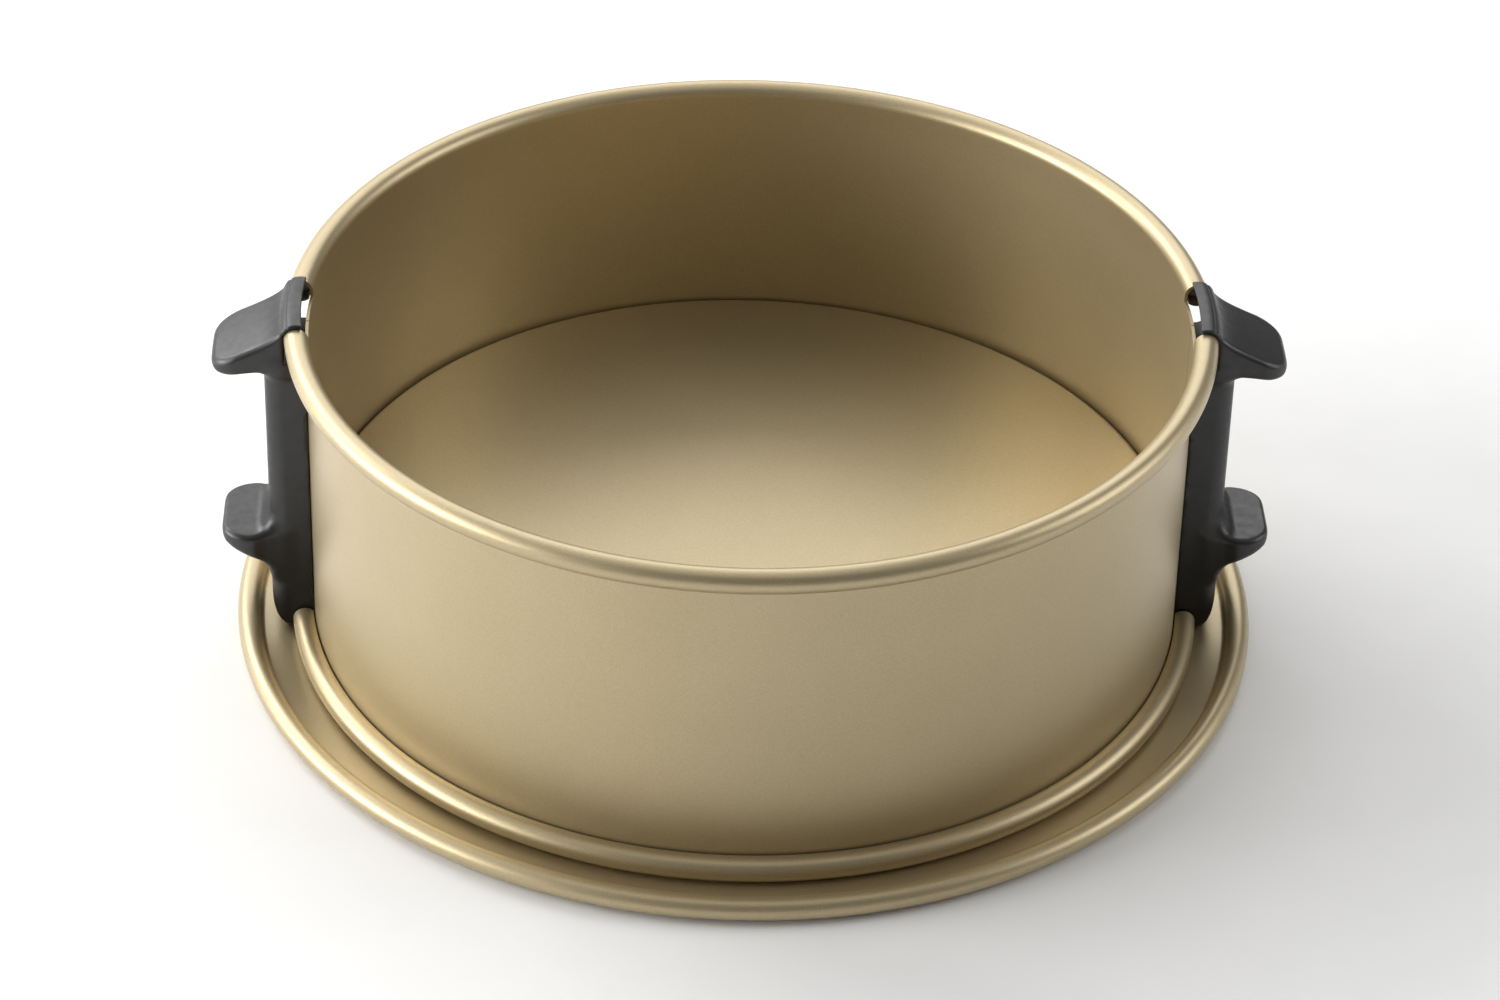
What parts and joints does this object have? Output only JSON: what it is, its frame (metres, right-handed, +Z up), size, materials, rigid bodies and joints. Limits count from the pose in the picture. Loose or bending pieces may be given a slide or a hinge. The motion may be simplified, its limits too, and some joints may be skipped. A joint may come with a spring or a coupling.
{
  "type": "springform pan",
  "caption": "Round springform cake pan: tray base with a raised centre, ring wall in two halves, and black slide-on clips with finger tabs.",
  "frame": {"origin": "on the pan's axis, at the resting face under the base", "axes": "+Z up along the pan's axis, +X through the right clip, front half of the ring on the -Y side"},
  "size_m": [0.2798, 0.271, 0.0965],
  "materials": {
    "gold_nonstick": "satin champagne nonstick coating",
    "bead_wire": "drawn wire",
    "channel_steel": "plain sheet",
    "black_grip": "fine moulded texture, soft sheen"
  },
  "bodies": {
    "base": {"base_tray": "gold_nonstick", "base_rim_wire": "bead_wire"},
    "ring": {"front_ring_half": "gold_nonstick", "front_top_wire": "bead_wire", "front_lower_wire": "bead_wire", "rear_ring_half": "gold_nonstick", "rear_top_wire": "bead_wire", "rear_lower_wire": "bead_wire"},
    "left_clip": {"left_clip_grip": "black_grip", "left_clip_channel": "channel_steel"},
    "right_clip": {"right_clip_grip": "black_grip", "right_clip_channel": "channel_steel"}
  },
  "joints": [
    {"name": "ring_lift", "type": "slide", "parent": "base", "child": "ring", "axis": [0, 0, 1], "range_m": [0, 0.06]},
    {"name": "left_clip_slide", "type": "slide", "parent": "ring", "child": "left_clip", "axis": [0, 0, 1], "range_m": [0, 0.1]},
    {"name": "right_clip_slide", "type": "slide", "parent": "ring", "child": "right_clip", "axis": [0, 0, 1], "range_m": [0, 0.1]}
  ]
}
